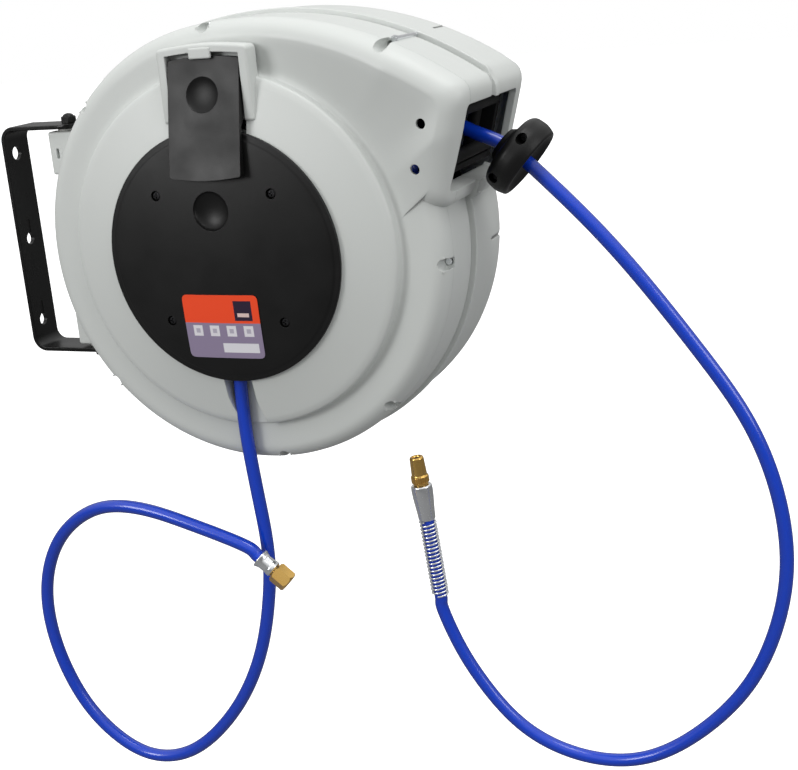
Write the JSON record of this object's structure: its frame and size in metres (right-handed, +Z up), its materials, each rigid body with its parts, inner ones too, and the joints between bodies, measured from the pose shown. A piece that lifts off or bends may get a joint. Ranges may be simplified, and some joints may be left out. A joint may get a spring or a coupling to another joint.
{
  "type": "retractable air hose reel",
  "caption": "Wall-mounted spring-rewind reel for compressed air, with a swivel bracket, roller hose guide, hose stop, ratchet lever and fitted hose ends.",
  "frame": {"origin": "on the wall: centre line of the bracket's back face, between its round fixing hole and its upper keyhole", "axes": "+X away from the wall towards the hose outlet, -Y out of the front cover along the drum axis, +Z up"},
  "size_m": [0.7149, 0.197, 0.7089],
  "materials": {
    "shell_plastic": "fine-grained light grey moulding",
    "black_plastic": "satin black moulding",
    "black_paint": "black powder coat",
    "blue_hose": "glossy blue polyurethane",
    "steel": "bright zinc-plated steel",
    "brass": "machined brass",
    "white_nylon": "off-white nylon",
    "label_print": "plain coloured label, no lettering",
    "seal_rubber": "black rubber",
    "drum_plastic": "black moulding"
  },
  "bodies": {
    "bracket": {"wall_bracket": "black_paint", "pivot_bolt_top": "steel", "pivot_bolt_bottom": "steel"},
    "housing": {"front_shell": "shell_plastic", "rear_shell": "shell_plastic", "shell_screw_1": "steel", "shell_screw_2": "steel", "shell_screw_3": "steel", "shell_screw_4": "steel", "shell_screw_5": "steel", "shell_screw_6": "steel", "shell_screw_7": "steel", "front_cover": "black_plastic", "cover_screw_1": "steel", "cover_screw_2": "steel", "cover_screw_3": "steel", "cover_screw_4": "steel", "label": "label_print", "lever_pin": "steel", "pawl_pin": "steel", "pawl_spring": "steel", "axle": "steel", "axle_nut": "steel", "rotary_seal": "seal_rubber", "inlet_elbow": "brass", "inlet_hose": "blue_hose", "inlet_ferrule": "steel", "roller_frame": "black_plastic", "roller_pin_top": "steel", "roller_pin_bottom": "steel", "roller_pin_left": "steel", "roller_pin_right": "steel", "pivot_bush_top": "white_nylon", "pivot_bush_bottom": "white_nylon"},
    "lever": {"ratchet_lever": "black_plastic"},
    "pawl": {"pawl": "steel"},
    "drum": {"drum_core": "drum_plastic", "drum_front_flange": "drum_plastic", "drum_rear_flange": "drum_plastic", "drum_bush_front": "white_nylon", "drum_bush_rear": "white_nylon", "spring_case": "steel", "spring_case_lid": "steel", "power_spring": "steel", "ratchet_ring": "steel", "hose_coil": "blue_hose"},
    "outlet": {"outlet_hose": "blue_hose", "outlet_ferrule": "steel", "outlet_nipple": "brass", "strain_relief_spring": "steel", "hose_stop_front": "black_plastic", "hose_stop_rear": "black_plastic", "stop_screw_1": "steel", "stop_screw_2": "steel"},
    "inlet_nut": {"inlet_nut": "brass"},
    "roller_top": {"roller_top": "black_plastic"},
    "roller_bottom": {"roller_bottom": "black_plastic"},
    "roller_left": {"roller_left": "black_plastic"},
    "roller_right": {"roller_right": "black_plastic"}
  },
  "joints": [
    {"name": "bracket_swivel", "type": "hinge", "parent": "bracket", "child": "housing", "pos_m": [0.066, 0, -0.04], "axis": [0, 0, 1], "range_deg": [-45, 45]},
    {"name": "lever_lift", "type": "hinge", "parent": "housing", "child": "lever", "pos_m": [0.262, -0.081, 0.12], "axis": [-1, 0, 0], "range_deg": [0, 30]},
    {"name": "pawl_drop", "type": "hinge", "parent": "housing", "child": "pawl", "pos_m": [0.226, -0.0606, 0.095], "axis": [0, 1, 0], "range_deg": [0, 11]},
    {"name": "drum_spin", "type": "hinge", "parent": "housing", "child": "drum", "pos_m": [0.262, 0, -0.04], "axis": [0, 1, 0], "range_deg": [0, 30]},
    {"name": "hose_feed", "type": "slide", "parent": "housing", "child": "outlet", "axis": [0.9063, 0, -0.4226], "range_m": [0, 0.085]},
    {"name": "inlet_nut_turn", "type": "hinge", "parent": "housing", "child": "inlet_nut", "pos_m": [0.263, -0.091, -0.313], "axis": [0.7662, 0, -0.6426], "continuous": true},
    {"name": "roller_top_turn", "type": "hinge", "parent": "housing", "child": "roller_top", "pos_m": [0.46204, 0, 0.0679], "axis": [0, 1, 0], "continuous": true},
    {"name": "roller_bottom_turn", "type": "hinge", "parent": "housing", "child": "roller_bottom", "pos_m": [0.45169, 0, 0.02926], "axis": [0, 1, 0], "continuous": true},
    {"name": "roller_left_turn", "type": "hinge", "parent": "housing", "child": "roller_left", "pos_m": [0.44528, -0.045, 0.05169], "axis": [0.2588, 0, 0.9659], "continuous": true},
    {"name": "roller_right_turn", "type": "hinge", "parent": "housing", "child": "roller_right", "pos_m": [0.44528, 0.045, 0.05169], "axis": [0.2588, 0, 0.9659], "continuous": true}
  ],
  "couplings": [
    {"joint": "hose_feed", "follows": "drum_spin", "m_per_rad": 0.1614},
    {"joint": "pawl_drop", "follows": "lever_lift", "ratio": 0.36667}
  ]
}
